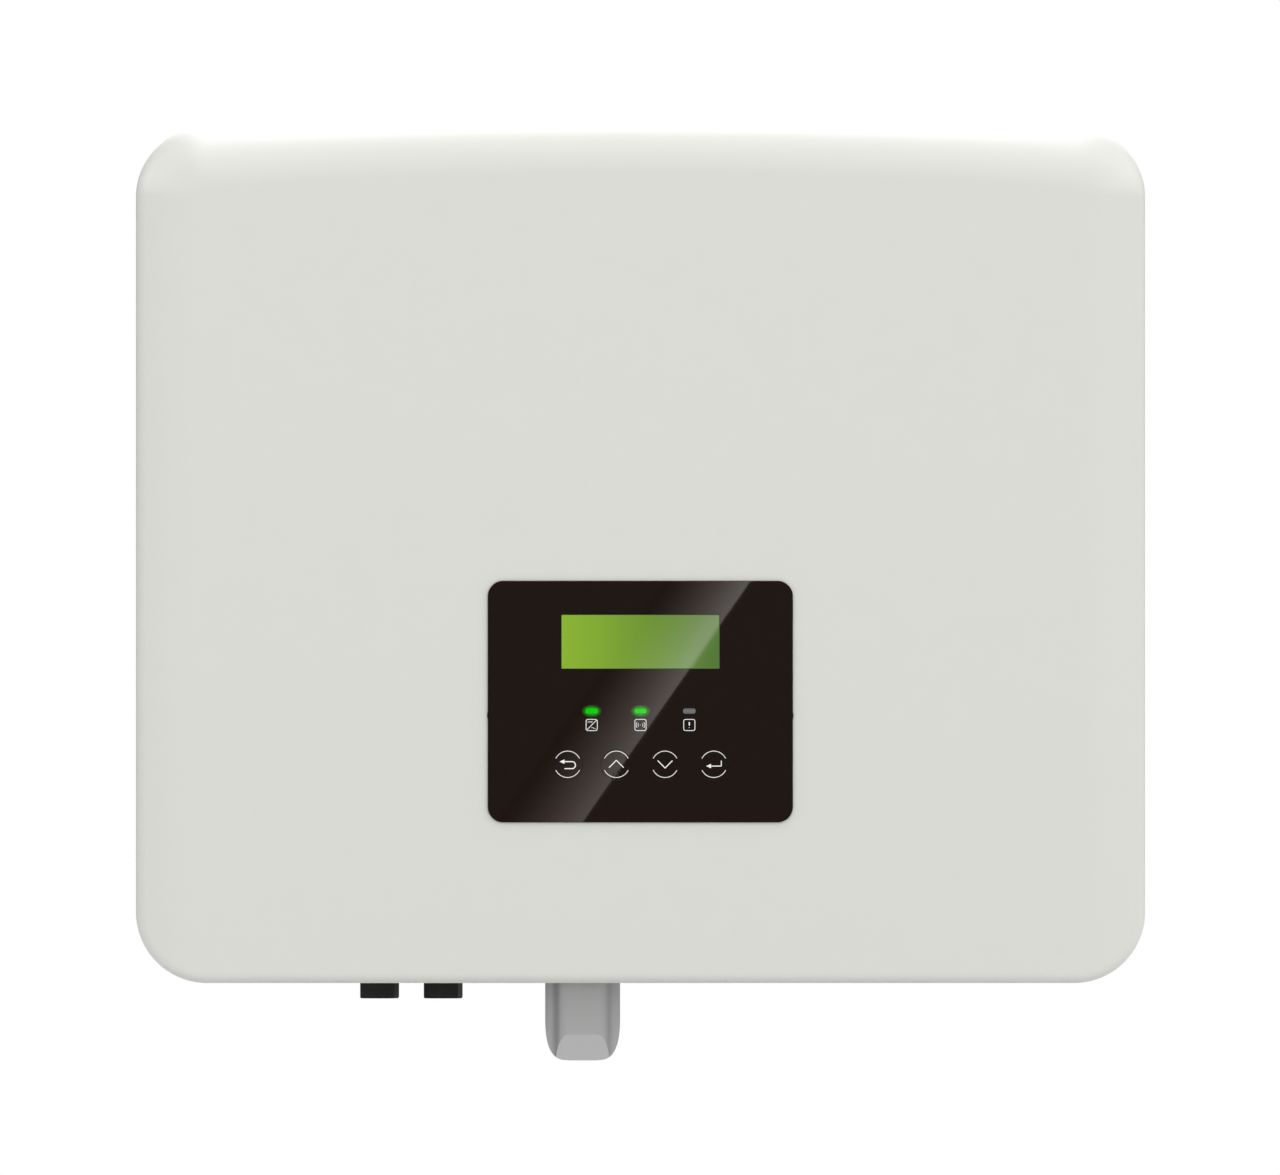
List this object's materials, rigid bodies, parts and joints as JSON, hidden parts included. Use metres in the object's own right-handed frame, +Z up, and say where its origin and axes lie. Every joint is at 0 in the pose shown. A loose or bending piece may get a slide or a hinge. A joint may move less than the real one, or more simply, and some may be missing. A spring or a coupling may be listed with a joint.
{
  "type": "string inverter",
  "caption": "Wall-hung string inverter: arched off-white cover with a black display panel and keys, finned back, capped connectors, isolator knob and plug-in dongle underneath.",
  "frame": {"origin": "middle of the hanger lip's back face, which lies on the wall", "axes": "+X to the right as seen from the front, +Y into the wall, +Z up; the front faces -Y"},
  "size_m": [0.482, 0.181, 0.4547],
  "materials": {
    "cover_paint": "off-white satin powder coat with a fine texture",
    "housing_paint": "light grey powder coat on the die-cast housing",
    "heatsink_aluminium": "bare aluminium, extruded grain along the fins",
    "zinc_steel": "zinc-plated sheet steel",
    "screw_steel": "plated steel",
    "seal_rubber": "matt black elastomer",
    "lens_black": "high-gloss black-brown panel",
    "display_green": "lit yellow-green liquid crystal display",
    "lamp_lit": "lit green light guide",
    "lamp_unlit": "unlit grey light guide",
    "black_plastic": "matt black moulded plastic",
    "dongle_plastic": "mid-grey moulded plastic",
    "ribbon_grey": "grey ribbon insulation",
    "circuit_board": "green solder mask",
    "capacitor_sleeve": "dark blue sleeves",
    "copper_winding": "enamelled copper windings",
    "iron_core": "varnished laminated core"
  },
  "bodies": {
    "inverter": {"front_cover": "cover_paint", "rear_housing": "housing_paint", "cover_gasket": "seal_rubber", "heatsink": "heatsink_aluminium", "hanger_plate": "zinc_steel", "lower_spacer": "zinc_steel", "display_lens": "lens_black", "display_seal": "seal_rubber", "display_glass": "display_green", "display_module": "black_plastic", "display_board": "circuit_board", "lamp_guide_1": "lamp_lit", "lamp_guide_2": "lamp_lit", "lamp_guide_3": "lamp_unlit", "ribbon_cable": "ribbon_grey", "isolator_switch": "black_plastic", "grid_connector": "black_plastic", "grid_cap": "black_plastic", "backup_connector": "black_plastic", "backup_cap": "black_plastic", "vent_valve": "black_plastic", "earth_screw": "screw_steel", "dongle_shell": "dongle_plastic", "dongle_seal": "seal_rubber", "dongle_plug": "zinc_steel", "dongle_socket": "black_plastic", "power_board": "circuit_board", "control_board": "circuit_board", "capacitor_bank": "capacitor_sleeve", "power_module": "black_plastic", "boost_inductor_1": "copper_winding", "boost_inductor_2": "copper_winding", "grid_choke": "iron_core", "cover_screw_1": "screw_steel", "cover_screw_2": "screw_steel", "cover_screw_3": "screw_steel", "cover_screw_4": "screw_steel", "cover_screw_5": "screw_steel", "cover_screw_6": "screw_steel", "hanger_screw_1": "screw_steel", "hanger_screw_2": "screw_steel", "solar_connector_1": "black_plastic", "solar_cap_1": "black_plastic", "solar_connector_2": "black_plastic", "solar_cap_2": "black_plastic", "solar_connector_3": "black_plastic", "solar_cap_3": "black_plastic", "solar_connector_4": "black_plastic", "solar_cap_4": "black_plastic", "battery_connector_1": "black_plastic", "battery_cap_1": "black_plastic", "cable_gland_1": "black_plastic", "battery_connector_2": "black_plastic", "battery_cap_2": "black_plastic", "cable_gland_2": "black_plastic"},
    "knob": {"isolator_knob": "black_plastic"},
    "return_button": {"return_key": "lens_black"},
    "up_button": {"up_key": "lens_black"},
    "down_button": {"down_key": "lens_black"},
    "enter_button": {"enter_key": "lens_black"}
  },
  "joints": [
    {"name": "isolator_turn", "type": "hinge", "parent": "inverter", "child": "knob", "pos_m": [-0.17775, -0.0855, -0.27], "axis": [0, 0, 1], "range_deg": [0, 90]},
    {"name": "return_press", "type": "slide", "parent": "inverter", "child": "return_button", "axis": [0, 1, 0], "range_m": [0, 0.0005], "stiffness_N_per_m": 800, "springref_m": -0.001},
    {"name": "up_press", "type": "slide", "parent": "inverter", "child": "up_button", "axis": [0, 1, 0], "range_m": [0, 0.0005], "stiffness_N_per_m": 800, "springref_m": -0.001},
    {"name": "down_press", "type": "slide", "parent": "inverter", "child": "down_button", "axis": [0, 1, 0], "range_m": [0, 0.0005], "stiffness_N_per_m": 800, "springref_m": -0.001},
    {"name": "enter_press", "type": "slide", "parent": "inverter", "child": "enter_button", "axis": [0, 1, 0], "range_m": [0, 0.0005], "stiffness_N_per_m": 800, "springref_m": -0.001}
  ]
}
